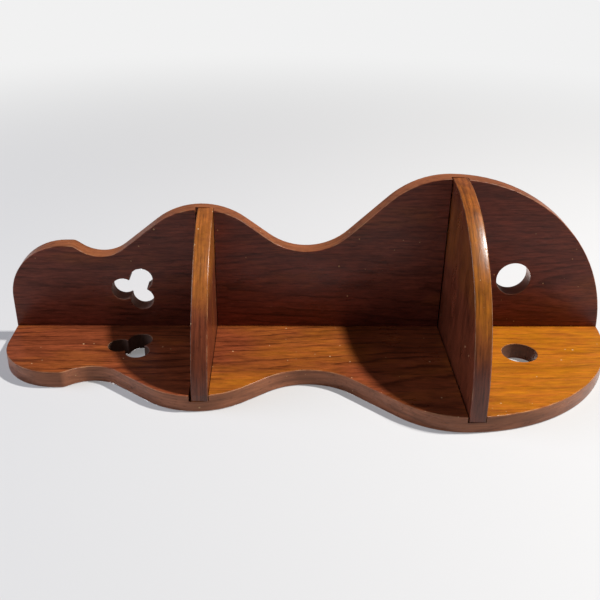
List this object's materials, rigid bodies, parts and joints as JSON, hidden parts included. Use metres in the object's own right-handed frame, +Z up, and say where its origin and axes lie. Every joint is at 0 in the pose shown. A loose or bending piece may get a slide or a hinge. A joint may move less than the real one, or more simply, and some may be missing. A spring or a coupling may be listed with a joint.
{
  "type": "corner wall shelf",
  "caption": "Corner wall shelf: wavy-edged side panels at a right angle hold round-fronted shelves in grooves, with trefoil and round cut-outs and keyhole hangers in the backs.",
  "frame": {"origin": "lower end of the line where the two back faces meet, which is the corner of the room", "axes": "+Z up along that line; +X out along the wide panel, whose back is the plane y = 0; -Y out along the narrow panel, whose back is the plane x = 0"},
  "size_m": [0.195, 0.195, 0.66],
  "materials": {
    "stained_wood": "reddish brown stain under worn satin varnish, grain along the board",
    "steel_screw": "zinc plated, dull",
    "hanger_plate": "pressed and zinc plated"
  },
  "bodies": {
    "root": {"wide_side_panel": "stained_wood", "narrow_side_panel": "stained_wood", "upper_shelf": "stained_wood", "lower_shelf": "stained_wood", "corner_screws": "steel_screw", "upper_shelf_screws": "steel_screw", "lower_shelf_screws": "steel_screw", "wide_panel_keyhole_plate": "hanger_plate", "narrow_panel_keyhole_plate": "hanger_plate", "keyhole_plate_screws": "steel_screw"}
  },
  "joints": []
}
